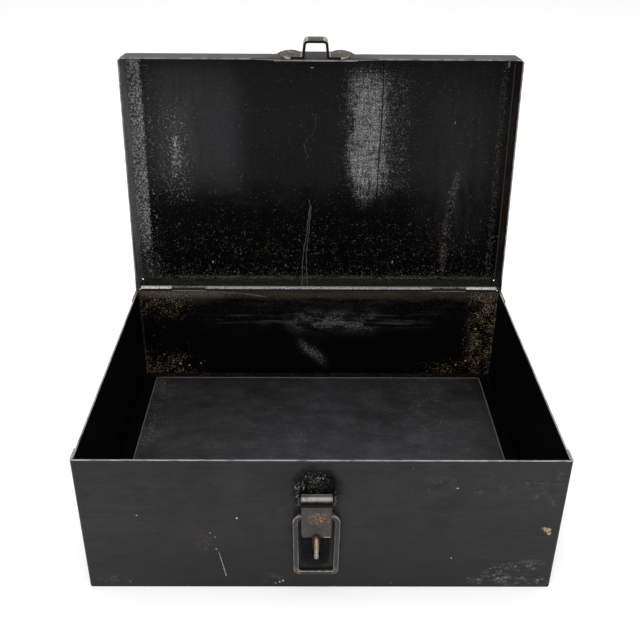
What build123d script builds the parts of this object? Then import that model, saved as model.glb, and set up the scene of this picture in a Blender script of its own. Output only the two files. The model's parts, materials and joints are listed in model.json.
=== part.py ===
# Deed box: a foolscap document box in folded sheet steel with a hinged lid.
# A toggle catch with a padlock staple is riveted to the front.
# Millimetres, +Z up, front at -Y. The pieces stand with the lid open and the catch
# hanging, and the origin is at the middle of the space they then stand in, at the base.
from build123d import *

import os
from math import atan2, cos, degrees, radians, sin, sqrt, tan

os.makedirs("parts", exist_ok=True)

# Box body
box_width = 356.0
box_depth = 226.0
box_height = 128.0
sheet = 1.2
bend_inside = 0.8
front_tab = 12.0
rear_tab = 19.0
foot_corner = 2.0

# Bottom pan, raised above the underside
inside_depth = 94.5
pan_fall = 4.5
pan_margin = 13.0
pan_skirt_gap = 1.5
pan_corner = 4.0

# Lid
lid_open_angle = 95.0
lid_depth = 26.0
lid_gap = 0.4
lid_bend_inside = 1.0
dent_angle = 12.0
dent_half_length = 56.0
dent_shoulder = 5.0
dent_crest = 19.8
dent_in = 1.3

# Rolled hinge
pin_diameter = 2.5
pin_play = 0.06
hinge_rise = 3.0
hinge_half_length = 172.0
body_knuckle_inner = 110.0
body_knuckle_outer = 142.0
knuckle_gap = 0.65
knuckle_seam = 0.5

# Catch base and lever
catch_offset = -3.5
catch_sheet = 1.2
ear_gap = 0.35
ear_radius = 3.6
ear_foot = 4.8
base_drop = 15.0
base_length = 87.5
base_top_width = 24.0
base_top_corner = 3.0
base_narrowing = 0.7
lever_sheet = 1.5
lever_pin_drop = 31.0
lever_pin_reach = 6.1
lever_pin_diameter = 5.2
lever_pin_play = 0.06
lever_pin_head = 0.5
lever_pin_head_diameter = 6.2
lever_width = 22.4
lever_lip_width = 20.6
tongue_width = 19.6
lever_length = 68.6
lip_drop = 35.5
lip_slope = 2.4
lip_bend = 1.0
plate_reach = 7.2
tongue_reach = 4.6
shoulder_radius = 4.0
curl_end_angle = -70.0
cheek_reach = 2.0
cheek_drop = 7.0
cheek_length = 24.0
fold_inside = 0.3

# Padlock staple and its slot in the lever
staple_bar = 3.4
staple_width = 3.4
staple_drop = 35.1
staple_length = 19.4
staple_reach = 13.0
staple_corner = 5.5
staple_edge = 0.8
slot_width = 6.6
slot_play = 3.2

# Link that draws the lid down
link_width = 34.8
link_end_width = 33.6
link_band = 3.7
link_thickness = 2.2
link_pivot_drop = 17.6
link_pivot_reach = 4.2
link_pintle = 2.2
link_pintle_play = 0.08
link_pintle_end = 8.7
link_side_gap = 0.35
link_lean = 2.5
link_top_corner = 6.5
link_bottom_corner = 3.0
link_edge = 0.4
hook_play = 0.4
hook_stand = 6.4

# Keeper on the lid
keeper_offset = -4.7
keeper_length = 62.0
keeper_depth = 18.0
keeper_sheet = 2.3
keeper_edge = 0.5
keeper_bend = 2.5
loop_width = 21.0
loop_foot_width = 24.0
loop_reach = 17.2
loop_strap = 10.5
loop_corner = 4.2
keeper_rivet_spacing = 43.0

# Rivets
rivet_shank = 3.0
rivet_play = 0.05
rivet_head = 5.6
rivet_head_height = 1.1
rivet_head_flat = 3.4
rivet_tail = 4.6
rivet_tail_height = 0.5
base_rivet_spacing = 14.0
base_rivet_edge = 4.5
base_lower_rivet_edge = 7.0

# Worked out from the sizes above
side_face = box_width / 2 - sheet
pan_height = box_height - inside_depth
knuckle_inner_radius = pin_diameter / 2 + pin_play
knuckle_radius = knuckle_inner_radius + sheet
rivet_hole_radius = rivet_shank / 2 + rivet_play

# Lid sizes, measured from the hinge axis as if it were closed
lid_rear = knuckle_radius
lid_front = lid_rear - box_depth
lid_edge = lid_gap - hinge_rise
lid_top = lid_edge + lid_depth
lid_bend = lid_bend_inside + sheet

# How far the open lid stands out behind the hinge axis, and the depth taken up in all
open_lid_reach = (
    lid_bend
    + (lid_top - lid_bend) * sin(radians(lid_open_angle))
    + (lid_front + lid_bend) * cos(radians(lid_open_angle))
)
overall_depth = staple_reach + box_depth - knuckle_radius + open_lid_reach
front_face = staple_reach - overall_depth / 2
rear_face = front_face + box_depth
box_middle = (front_face + rear_face) / 2
hinge_y = rear_face - knuckle_radius
hinge_z = box_height + hinge_rise

# Heights of the catch, set down from the rim of the box and from the lever pin
base_top_height = box_height - base_drop
base_end_height = base_top_height - base_length
lever_pivot_height = box_height - lever_pin_drop
tongue_end_height = lever_pivot_height - lever_length
lip_height = lever_pivot_height - lip_drop
cheek_top_height = lever_pivot_height - cheek_drop
cheek_bottom_height = cheek_top_height - cheek_length
staple_top_height = lever_pivot_height - staple_drop
staple_bottom_height = staple_top_height - staple_length
link_pivot_height = lever_pivot_height - link_pivot_drop

# Lid shapes are drawn as if it were closed, measured from the hinge axis, and turned open
open_lid = Location((0, hinge_y, hinge_z), (-lid_open_angle, 0, 0))


def on_lid(plane):
    """A plane set out on the closed lid, carried with it to the open position."""
    return Plane(open_lid * plane.location)


# Face of the front wall at the catch: x along the box, y up, z out of the front
catch_face = Plane(origin=(catch_offset, front_face, 0), x_dir=(1, 0, 0), z_dir=(0, -1, 0))
# Side view of the catch: x out of the front, y up
catch_side = Plane(origin=(catch_offset, front_face, 0), x_dir=(0, -1, 0), z_dir=(-1, 0, 0))


def folded_wall(wall_face, tab, inwards):
    """A wall whose ends are folded round the corners of the box onto the side walls."""
    end = box_width / 2 - sheet / 2
    with BuildPart() as wall:
        with BuildSketch():
            with BuildLine() as plan:
                FilletPolyline(
                    (-end, wall_face + inwards * tab),
                    (-end, wall_face + inwards * sheet / 2),
                    (end, wall_face + inwards * sheet / 2),
                    (end, wall_face + inwards * tab),
                    radius=bend_inside + sheet / 2,
                )
            trace(plan.line, line_width=sheet)
        extrude(amount=box_height)
        with BuildSketch(Plane.XZ) as front_view:
            with Locations((0, box_height / 2)):
                Rectangle(box_width, box_height)
            fillet(front_view.vertices().group_by(Axis.Y)[0], radius=foot_corner)
        extrude(amount=box_depth, both=True, mode=Mode.INTERSECT)
    return wall.part


# Front wall, with short tabs and the holes for the catch rivets
base_rivet_places = [
    (-base_rivet_spacing / 2, base_top_height - base_rivet_edge),
    (base_rivet_spacing / 2, base_top_height - base_rivet_edge),
    (0, base_end_height + base_lower_rivet_edge),
]

with BuildPart() as front_wall:
    add(folded_wall(front_face, front_tab, 1))
    with BuildSketch(catch_face):
        with Locations(*base_rivet_places):
            Circle(rivet_hole_radius)
    extrude(amount=-sheet, mode=Mode.SUBTRACT)
front_wall.part.label = "front_wall"

# Rear wall, with the body's two knuckles rolled inwards from its top edge
with BuildPart() as rear_wall:
    add(folded_wall(rear_face, rear_tab, -1))
    for knuckle_start in (-body_knuckle_outer, body_knuckle_inner):
        with BuildSketch(Plane.YZ.offset(knuckle_start)):
            with Locations((hinge_y, hinge_z)):
                Circle(knuckle_radius)
            with Locations((rear_face - sheet / 2, hinge_z - hinge_rise / 2)):
                Rectangle(sheet, hinge_rise)
            with Locations((hinge_y, hinge_z)):
                Circle(knuckle_inner_radius, mode=Mode.SUBTRACT)
            seam_y = hinge_y + knuckle_inner_radius - knuckle_seam / 2
            with Locations((seam_y, hinge_z - knuckle_radius / 2)):
                Rectangle(knuckle_seam, knuckle_radius, mode=Mode.SUBTRACT)
        extrude(amount=body_knuckle_outer - body_knuckle_inner)
rear_wall.part.label = "rear_wall"

# Side walls, plain sheets inside the tabs
side_length = box_depth - 2 * (sheet + bend_inside)
with BuildPart() as left_side_wall:
    with BuildSketch(Plane.YZ.offset(-side_face)):
        with Locations((box_middle, box_height / 2)):
            Rectangle(side_length, box_height)
    extrude(amount=sheet)
left_side_wall.part.label = "left_side_wall"

with BuildPart() as right_side_wall:
    mirror(left_side_wall.part, about=Plane.YZ)
right_side_wall.part.label = "right_side_wall"

# Bottom pan, a shallow inverted tray welded inside the walls
pan_width = 2 * (side_face - sheet)
pan_depth = box_depth - 2 * sheet
pan_edge_height = pan_height - pan_fall
pan_plane = Plane(origin=(0, box_middle, 0))
with BuildPart() as floor_pan:
    with BuildSketch(pan_plane.offset(pan_skirt_gap)):
        RectangleRounded(pan_width, pan_depth, pan_corner)
    extrude(amount=pan_edge_height - pan_skirt_gap)
    with BuildSketch(pan_plane.offset(pan_edge_height)) as pan_rim:
        RectangleRounded(pan_width, pan_depth, pan_corner)
    with BuildSketch(pan_plane.offset(pan_height)) as pan_floor:
        RectangleRounded(pan_width - 2 * pan_margin, pan_depth - 2 * pan_margin, pan_corner)
    loft([pan_rim.sketch.face(), pan_floor.sketch.face()])
    offset(amount=-sheet, openings=floor_pan.faces().sort_by(Axis.Z)[0])
floor_pan.part.label = "floor_pan"

# Hinge pin through all five knuckles
with BuildPart() as hinge_pin:
    with BuildSketch(Plane.YZ.offset(-hinge_half_length)):
        with Locations((hinge_y, hinge_z)):
            Circle(pin_diameter / 2)
    extrude(amount=2 * hinge_half_length)
hinge_pin.part.label = "hinge_pin"

# Lid, one sheet folded down on four sides with open corners, seated edge to edge on
# the walls, with three knuckles rolled from its rear skirt. Where the catch has drawn
# on the keeper, the front skirt bulges out below its fold and leans in to its edge.
lid_half_width = side_face
rear_skirt_edge = knuckle_radius + knuckle_gap
skirt_fold = lid_top - lid_bend
lean = radians(dent_angle)
lid_knuckle_spans = [
    (-hinge_half_length, -body_knuckle_outer - knuckle_gap),
    (-body_knuckle_inner + knuckle_gap, body_knuckle_inner - knuckle_gap),
    (body_knuckle_outer + knuckle_gap, hinge_half_length),
]
keeper_rivet_places = [(-keeper_rivet_spacing / 2, 0), (keeper_rivet_spacing / 2, 0)]

# Outer face of the leaning skirt at the keeper: x along the lid, y towards the fold
keeper_middle = keeper_edge + keeper_depth / 2
keeper_centre_y = lid_front + dent_in - keeper_middle * sin(lean)
keeper_centre_z = lid_edge + keeper_middle * cos(lean)
closed_keeper_face = Plane(
    origin=(keeper_offset, keeper_centre_y, keeper_centre_z),
    x_dir=(1, 0, 0),
    z_dir=(0, -cos(lean), -sin(lean)),
)
keeper_face = on_lid(closed_keeper_face)


def skirt_section(x, inset, angle):
    """Section of the front skirt below its fold, its edge set in and leaning by an angle."""
    edge_y = lid_front + inset
    crest_y = edge_y - dent_crest * tan(angle)
    across = sheet / cos(angle)
    with BuildSketch(on_lid(Plane.YZ.offset(x))) as section:
        with BuildLine():
            Polyline(
                (lid_front, skirt_fold),
                (crest_y, lid_edge + dent_crest),
                (edge_y, lid_edge),
                (edge_y + across, lid_edge),
                (crest_y + across, lid_edge + dent_crest),
                (lid_front + sheet, skirt_fold),
                close=True,
            )
        make_face()
    return section.sketch.face()


# The edge draws in over the whole dent, and the bulge ends just outside the keeper
bulge_half_length = keeper_length / 2 + dent_shoulder
edge_lean = atan2(dent_in, dent_crest)
lean_sections = [
    skirt_section(keeper_offset - dent_half_length, 0, 0),
    skirt_section(keeper_offset - bulge_half_length, dent_in, edge_lean),
    skirt_section(keeper_offset - keeper_length / 2, dent_in, lean),
    skirt_section(keeper_offset + keeper_length / 2, dent_in, lean),
    skirt_section(keeper_offset + bulge_half_length, dent_in, edge_lean),
    skirt_section(keeper_offset + dent_half_length, 0, 0),
]

with BuildPart() as lid_shell:
    # Panel and side skirts
    with BuildSketch(on_lid(Plane.XZ.offset(lid_bend - lid_rear))):
        with BuildLine() as across:
            FilletPolyline(
                (sheet / 2 - lid_half_width, lid_edge),
                (sheet / 2 - lid_half_width, lid_top - sheet / 2),
                (lid_half_width - sheet / 2, lid_top - sheet / 2),
                (lid_half_width - sheet / 2, lid_edge),
                radius=lid_bend - sheet / 2,
            )
        trace(across.line, line_width=sheet)
    extrude(amount=box_depth - 2 * lid_bend)
    # Panel, front skirt and rear skirt
    skirt_length = 2 * (lid_half_width - lid_bend)
    with BuildSketch(on_lid(Plane.YZ.offset(-skirt_length / 2))):
        with BuildLine() as along:
            FilletPolyline(
                (lid_front + sheet / 2, lid_edge),
                (lid_front + sheet / 2, lid_top - sheet / 2),
                (lid_rear - sheet / 2, lid_top - sheet / 2),
                (lid_rear - sheet / 2, rear_skirt_edge),
                radius=lid_bend - sheet / 2,
            )
        trace(along.line, line_width=sheet)
    extrude(amount=skirt_length)
    # Lean of the front skirt behind the keeper
    with BuildSketch(on_lid(Plane.YZ.offset(keeper_offset - dent_half_length))):
        with Locations((lid_front, skirt_fold)):
            Rectangle(2 * sheet, skirt_fold - lid_edge, align=(Align.MIN, Align.MAX))
    extrude(amount=2 * dent_half_length, mode=Mode.SUBTRACT)
    for section_start, section_end in zip(lean_sections, lean_sections[1:]):
        loft([section_start, section_end])
    # Knuckles
    for knuckle_start, knuckle_end in lid_knuckle_spans:
        with BuildSketch(on_lid(Plane.YZ.offset(knuckle_start))):
            Circle(knuckle_radius)
            with Locations((lid_rear - sheet / 2, rear_skirt_edge / 2)):
                Rectangle(sheet, rear_skirt_edge)
            Circle(knuckle_inner_radius, mode=Mode.SUBTRACT)
            with Locations((knuckle_inner_radius - knuckle_seam / 2, knuckle_radius / 2)):
                Rectangle(knuckle_seam, knuckle_radius, mode=Mode.SUBTRACT)
        extrude(amount=knuckle_end - knuckle_start)
    # Holes for the keeper rivets
    with BuildSketch(keeper_face):
        with Locations(*keeper_rivet_places):
            Circle(rivet_hole_radius)
    extrude(amount=-2 * sheet, mode=Mode.SUBTRACT)
lid_shell.part.label = "lid_shell"

# Keeper, a strap bent up into a loop between two riveted feet. The loop draws in
# towards its top and is cut narrower than the feet on the side nearer the fold.
keeper_side = Plane(
    origin=keeper_face.from_local_coords((0, -keeper_depth / 2, 0)),
    x_dir=keeper_face.x_dir,
    z_dir=-keeper_face.y_dir,
)
foot_centre = (keeper_length - keeper_depth) / 2
loop_top = loop_width / 2 - keeper_sheet / 2
loop_leg = loop_foot_width / 2 - keeper_sheet / 2
loop_foot = loop_leg + keeper_bend + keeper_sheet
strap_middle = (loop_strap - keeper_depth) / 2
with BuildPart() as keeper:
    for hand in (-1, 1):
        with BuildSketch(keeper_face):
            with Locations((hand * foot_centre, 0)):
                Circle(keeper_depth / 2)
            with Locations((hand * loop_foot, strap_middle)):
                Rectangle(keeper_sheet, loop_strap)
            make_hull()
            with Locations((hand * keeper_rivet_spacing / 2, 0)):
                Circle(rivet_hole_radius, mode=Mode.SUBTRACT)
        extrude(amount=keeper_sheet)
    with BuildSketch(keeper_side):
        with BuildLine() as loop:
            FilletPolyline(
                (-loop_foot, keeper_sheet / 2),
                (-loop_leg, keeper_sheet / 2),
                (-loop_top, loop_reach - keeper_sheet / 2),
                (loop_top, loop_reach - keeper_sheet / 2),
                (loop_leg, keeper_sheet / 2),
                (loop_foot, keeper_sheet / 2),
                radius=(
                    keeper_bend,
                    loop_corner - keeper_sheet / 2,
                    loop_corner - keeper_sheet / 2,
                    keeper_bend,
                ),
            )
        trace(loop.line, line_width=keeper_sheet)
    extrude(amount=-loop_strap)
keeper.part.label = "keeper"

# Rivets, bevelled heads outside and low clenched tails inside

def rivet(face, place, outer_sheet, inner_sheet):
    """A rivet through two sheets that meet at a face."""
    centre = face.from_local_coords(place)
    section = Plane(origin=centre, x_dir=face.x_dir, z_dir=-face.y_dir)
    tail_end = -inner_sheet - rivet_tail_height
    with BuildPart() as fastener:
        with BuildSketch(section):
            with BuildLine():
                Polyline(
                    (0, outer_sheet + rivet_head_height),
                    (0, tail_end),
                    (rivet_tail / 2, tail_end),
                    (rivet_tail / 2, -inner_sheet),
                    (rivet_shank / 2, -inner_sheet),
                    (rivet_shank / 2, outer_sheet),
                    (rivet_head / 2, outer_sheet),
                    (rivet_head_flat / 2, outer_sheet + rivet_head_height),
                    close=True,
                )
            make_face()
        revolve(axis=Axis(centre, face.z_dir))
    return fastener.part


keeper_rivet_left = rivet(keeper_face, keeper_rivet_places[0], keeper_sheet, sheet)
keeper_rivet_left.label = "keeper_rivet_left"
keeper_rivet_right = rivet(keeper_face, keeper_rivet_places[1], keeper_sheet, sheet)
keeper_rivet_right.label = "keeper_rivet_right"
catch_rivet_left = rivet(catch_face, base_rivet_places[0], catch_sheet, sheet)
catch_rivet_left.label = "catch_rivet_left"
catch_rivet_right = rivet(catch_face, base_rivet_places[1], catch_sheet, sheet)
catch_rivet_right.label = "catch_rivet_right"
catch_rivet_lower = rivet(catch_face, base_rivet_places[2], catch_sheet, sheet)
catch_rivet_lower.label = "catch_rivet_lower"

# Catch base, a plate with two ears folded forward to carry the lever pin
ear_inner = lever_width / 2 + ear_gap
ear_outer = ear_inner + catch_sheet
ear_bottom = lever_pivot_height - ear_foot
ear_top = lever_pivot_height + ear_foot
ear_line = ear_outer - catch_sheet / 2
ear_end = lever_pin_reach + ear_radius
base_half_width = tongue_width / 2 - base_narrowing
base_round_height = base_end_height + base_half_width
staple_lower_leg = staple_bottom_height + staple_bar / 2
staple_upper_leg = staple_top_height - staple_bar / 2
ear_plan = Plane(
    origin=(catch_offset, front_face, ear_bottom), x_dir=(1, 0, 0), z_dir=(0, 0, -1)
)
pin_place = (lever_pin_reach, lever_pivot_height)

with BuildPart() as ears:
    with BuildSketch(ear_plan):
        with BuildLine() as ear_fold:
            FilletPolyline(
                (-ear_line, ear_end),
                (-ear_line, catch_sheet / 2),
                (ear_line, catch_sheet / 2),
                (ear_line, ear_end),
                radius=fold_inside + catch_sheet / 2,
            )
        trace(ear_fold.line, line_width=catch_sheet)
    extrude(amount=ear_bottom - ear_top)
    with BuildSketch(catch_side):
        with Locations(pin_place):
            Circle(ear_radius)
        with Locations((catch_sheet / 2, lever_pivot_height)):
            Rectangle(catch_sheet, 2 * ear_foot)
        make_hull()
        with Locations(pin_place):
            Circle(lever_pin_diameter / 2 + rivet_play, mode=Mode.SUBTRACT)
    extrude(amount=ear_outer, both=True, mode=Mode.INTERSECT)

with BuildPart() as catch_base:
    with BuildSketch(catch_face):
        with Locations((0, ear_top)):
            Rectangle(
                base_top_width,
                base_top_height - ear_top,
                align=(Align.CENTER, Align.MIN),
            )
    extrude(amount=catch_sheet)
    top_corners = catch_base.edges().filter_by(Axis.Y).group_by(Axis.Z)[-1]
    fillet(top_corners, radius=base_top_corner)
    with BuildSketch(catch_face):
        with Locations((0, base_round_height)):
            Circle(base_half_width)
            Rectangle(
                2 * base_half_width,
                ear_top - base_round_height,
                align=(Align.CENTER, Align.MIN),
            )
    extrude(amount=catch_sheet)
    add(ears.part)
    with BuildSketch(catch_face):
        with Locations(*base_rivet_places):
            Circle(rivet_hole_radius)
        with Locations((0, staple_lower_leg), (0, staple_upper_leg)):
            Rectangle(staple_width + 2 * rivet_play, staple_bar + 2 * rivet_play)
    extrude(amount=catch_sheet, mode=Mode.SUBTRACT)
catch_base.part.label = "catch_base"

# Padlock staple, a bent bar with both legs through the base
staple_line = staple_reach - staple_bar / 2
with BuildPart() as padlock_staple:
    with BuildSketch(catch_side):
        with BuildLine() as staple_path:
            FilletPolyline(
                (0, staple_lower_leg),
                (staple_line, staple_lower_leg),
                (staple_line, staple_upper_leg),
                (0, staple_upper_leg),
                radius=staple_corner - staple_bar / 2,
            )
        trace(staple_path.line, line_width=staple_bar)
    extrude(amount=staple_width / 2, both=True)
    leg_ends = padlock_staple.faces().sort_by(Axis.Y)[-2:]
    staple_edges = padlock_staple.edges().filter_by(Axis.X, reverse=True)
    chamfer([edge for edge in staple_edges if edge not in leg_ends.edges()], length=staple_edge)
padlock_staple.part.label = "padlock_staple"

# Lever pin, peened over both ears
with BuildPart() as lever_pin:
    with BuildSketch(catch_side):
        with Locations(pin_place):
            Circle(lever_pin_diameter / 2)
    extrude(amount=ear_outer, both=True)
    for hand in (-1, 1):
        with BuildSketch(catch_side.offset(hand * ear_outer)):
            with Locations(pin_place):
                Circle(lever_pin_head_diameter / 2)
        extrude(amount=hand * lever_pin_head)
    pin_ends = lever_pin.faces().sort_by(Axis.X)
    chamfer([pin_ends[0].edge(), pin_ends[-1].edge()], length=lever_pin_head / 2)
lever_pin.part.label = "lever_pin"

# Lever, one strip rolled round its pin at the top, set forward in an easy double
# bend, stepped back below the lip into a tongue and slotted for the staple. Two
# cheeks folded back from its sides carry the link.
roll_radius = lever_pin_diameter / 2 + lever_pin_play + lever_sheet / 2
plate_line = plate_reach - lever_sheet / 2
tongue_line = tongue_reach - lever_sheet / 2
shoulder_centre_reach = plate_line - shoulder_radius
shoulder_span = roll_radius + shoulder_radius
shoulder_drop = sqrt(shoulder_span**2 - (lever_pin_reach - shoulder_centre_reach) ** 2)
shoulder_height = lever_pivot_height - shoulder_drop
meeting_angle = degrees(
    atan2(shoulder_drop, lever_pin_reach - shoulder_centre_reach)
)
tongue_round_height = tongue_end_height + tongue_width / 2
cheek_line = lever_width / 2 - lever_sheet / 2
slot_length = staple_top_height - staple_bottom_height + 2 * slot_play
link_pivot_place = (link_pivot_reach, link_pivot_height)

with BuildPart() as lever_cheeks:
    cheek_plan = Plane(
        origin=(catch_offset, front_face, cheek_bottom_height), x_dir=(1, 0, 0), z_dir=(0, 0, -1)
    )
    with BuildSketch(cheek_plan):
        with BuildLine() as cheek_fold:
            FilletPolyline(
                (-cheek_line, cheek_reach),
                (-cheek_line, plate_line),
                (cheek_line, plate_line),
                (cheek_line, cheek_reach),
                radius=fold_inside + lever_sheet / 2,
            )
        trace(cheek_fold.line, line_width=lever_sheet)
    extrude(amount=cheek_bottom_height - cheek_top_height)
    free_corners = lever_cheeks.edges().filter_by(Axis.X).group_by(Axis.Y)[-1]
    fillet(free_corners, radius=lever_sheet)
    with BuildSketch(catch_side):
        with Locations(link_pivot_place):
            Circle(link_pintle / 2 + link_pintle_play)
    extrude(amount=lever_width, both=True, mode=Mode.SUBTRACT)

with BuildPart() as lever:
    with BuildSketch(catch_side):
        with BuildLine() as lever_path:
            CenterArc(
                pin_place,
                roll_radius,
                start_angle=curl_end_angle,
                arc_size=180 + meeting_angle - curl_end_angle,
            )
            CenterArc(
                (shoulder_centre_reach, shoulder_height),
                shoulder_radius,
                start_angle=meeting_angle,
                arc_size=-meeting_angle,
            )
            FilletPolyline(
                (plate_line, shoulder_height),
                (plate_line, lip_height),
                (tongue_line, lip_height - lip_slope),
                (tongue_line, tongue_end_height),
                radius=lip_bend,
            )
        trace(lever_path.line, line_width=lever_sheet)
    extrude(amount=lever_width / 2, both=True)
    with BuildSketch(catch_face):
        with BuildLine():
            Polyline(
                (-lever_width / 2, base_top_height),
                (-lever_width / 2, cheek_bottom_height),
                (-lever_lip_width / 2, lip_height),
                (-tongue_width / 2, tongue_round_height),
                (tongue_width / 2, tongue_round_height),
                (lever_lip_width / 2, lip_height),
                (lever_width / 2, cheek_bottom_height),
                (lever_width / 2, base_top_height),
                close=True,
            )
        make_face()
        with Locations((0, tongue_round_height)):
            Circle(tongue_width / 2)
    extrude(amount=staple_reach, mode=Mode.INTERSECT)
    with BuildSketch(catch_face):
        with Locations((0, (cheek_bottom_height + cheek_top_height) / 2)):
            Rectangle(lever_width, cheek_top_height - cheek_bottom_height)
            Rectangle(2 * cheek_line, cheek_top_height - cheek_bottom_height, mode=Mode.SUBTRACT)
    extrude(amount=plate_reach, mode=Mode.SUBTRACT)
    add(lever_cheeks.part)
    with BuildSketch(catch_face):
        with Locations((0, (staple_top_height + staple_bottom_height) / 2)):
            SlotOverall(slot_length, slot_width, rotation=90)
    extrude(amount=plate_reach, mode=Mode.SUBTRACT)
lever.part.label = "lever"

# Upper edge of the loop's strap on the closed lid, where the hooked link bears on it
strap_top = loop_strap - keeper_depth / 2
strap_out = hinge_y + keeper_centre_y - strap_top * sin(lean) - front_face
strap_stand = (strap_out + hook_stand) / cos(lean)
hook_height = hinge_z + keeper_centre_z + strap_top * cos(lean) - strap_stand * sin(lean)

# Link, a flat band bent into a ring, its ends drawn down to round pintles in the
# cheeks. It leans back towards the wall, and is long enough to stand up and drop
# over the keeper loop of the closed lid.
hook_rise = hook_height + hook_play - link_pivot_height
hook_lean = hook_stand + link_thickness / 2 - link_pivot_reach
link_bar = link_band / 2 + sqrt(hook_rise**2 + hook_lean**2)
link_line = (link_width - link_band) / 2
link_end_line = (link_end_width - link_band) / 2
link_end = lever_width / 2 + link_side_gap
link_tilt = radians(link_lean)
link_plane = Plane(
    origin=(catch_offset, front_face - link_pivot_reach, link_pivot_height),
    x_dir=(1, 0, 0),
    z_dir=(0, -cos(link_tilt), -sin(link_tilt)),
)
with BuildPart() as link:
    with BuildSketch(link_plane.offset(-link_thickness / 2)):
        with BuildLine() as link_path:
            FilletPolyline(
                (link_pintle_end, 0),
                (link_line, 0),
                (link_end_line, -link_bar),
                (-link_end_line, -link_bar),
                (-link_line, 0),
                (-link_pintle_end, 0),
                radius=(
                    link_top_corner,
                    link_bottom_corner,
                    link_bottom_corner,
                    link_top_corner,
                ),
            )
        trace(link_path.line, line_width=link_band)
        Rectangle(2 * link_end, 2 * link_band, mode=Mode.SUBTRACT)
    extrude(amount=link_thickness)
    link_through = Axis(link_plane.origin, link_plane.z_dir)
    chamfer(link.edges().filter_by(link_through, reverse=True), length=link_edge)
    for hand in (-1, 1):
        with BuildSketch(catch_side.offset(hand * link_pintle_end)):
            with Locations(link_pivot_place):
                Circle(link_pintle / 2)
        extrude(amount=hand * (link_end - link_pintle_end + link_edge))
link.part.label = "link"

pieces = [
    front_wall.part,
    rear_wall.part,
    left_side_wall.part,
    right_side_wall.part,
    floor_pan.part,
    hinge_pin.part,
    lid_shell.part,
    keeper.part,
    keeper_rivet_left,
    keeper_rivet_right,
    catch_base.part,
    catch_rivet_left,
    catch_rivet_right,
    catch_rivet_lower,
    padlock_staple.part,
    lever_pin.part,
    lever.part,
    link.part,
]
for piece in pieces:
    export_step(piece, f"parts/{piece.label}.step")
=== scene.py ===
import json
import math

import bpy
from mathutils import Matrix, Vector, noise

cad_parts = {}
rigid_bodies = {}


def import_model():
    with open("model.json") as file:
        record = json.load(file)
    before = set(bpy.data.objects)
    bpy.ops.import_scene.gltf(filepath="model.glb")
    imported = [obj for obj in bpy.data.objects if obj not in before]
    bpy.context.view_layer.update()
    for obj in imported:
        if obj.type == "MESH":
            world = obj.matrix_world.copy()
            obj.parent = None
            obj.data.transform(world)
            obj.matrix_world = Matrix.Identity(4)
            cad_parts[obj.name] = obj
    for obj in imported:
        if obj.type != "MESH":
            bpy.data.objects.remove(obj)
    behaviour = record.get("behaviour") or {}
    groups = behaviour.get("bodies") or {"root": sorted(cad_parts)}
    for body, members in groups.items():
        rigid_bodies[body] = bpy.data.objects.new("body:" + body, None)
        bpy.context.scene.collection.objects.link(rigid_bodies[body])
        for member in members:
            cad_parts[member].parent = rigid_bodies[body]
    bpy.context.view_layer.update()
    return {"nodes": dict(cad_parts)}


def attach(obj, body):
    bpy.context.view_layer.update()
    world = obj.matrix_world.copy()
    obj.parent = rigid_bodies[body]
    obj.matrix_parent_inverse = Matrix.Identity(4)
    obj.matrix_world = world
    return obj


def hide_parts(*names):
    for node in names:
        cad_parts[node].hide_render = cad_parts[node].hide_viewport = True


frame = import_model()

nodes = frame["nodes"]
print("frame loaded:", len(nodes), "nodes")

# the dictionaries give places on the object in millimetres
perMetre = 1000.0

# place and nearest are in metres
cameraView = {
    "place": (-0.01017, -0.530548, 0.52041),
    "pitch": 24.86,
    "yaw": -0.42,
    "roll": 0.43,
    "lens": 42.475,
    "sensor": 36.0,
    "nearest": 0.02,
    "shift": (0.009625, -0.19283),
}


def placeCamera(values):
    data = bpy.data.cameras.new("boxCamera")
    data.lens = values["lens"]
    data.sensor_width = values["sensor"]
    data.shift_x, data.shift_y = values["shift"]
    data.clip_start = values["nearest"]
    camera = bpy.data.objects.new("boxCamera", data)
    bpy.context.scene.collection.objects.link(camera)
    pitch, yaw, roll = (math.radians(values[key]) for key in ("pitch", "yaw", "roll"))
    level = Vector((math.cos(yaw), math.sin(yaw), 0))
    ahead = Vector((-math.sin(yaw), math.cos(yaw), 0))
    up = Vector((0, 0, 1))
    forward = math.cos(pitch) * ahead - math.sin(pitch) * up
    down = -(math.sin(pitch) * ahead + math.cos(pitch) * up)
    right = math.cos(roll) * level - math.sin(roll) * down
    down = math.sin(roll) * level + math.cos(roll) * down
    turn = Matrix((right, -down, -forward)).transposed().to_4x4()
    camera.matrix_world = Matrix.Translation(Vector(values["place"])) @ turn
    bpy.context.scene.camera = camera


placeCamera(cameraView)
bpy.context.scene.view_settings.view_transform = "Standard"


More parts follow.
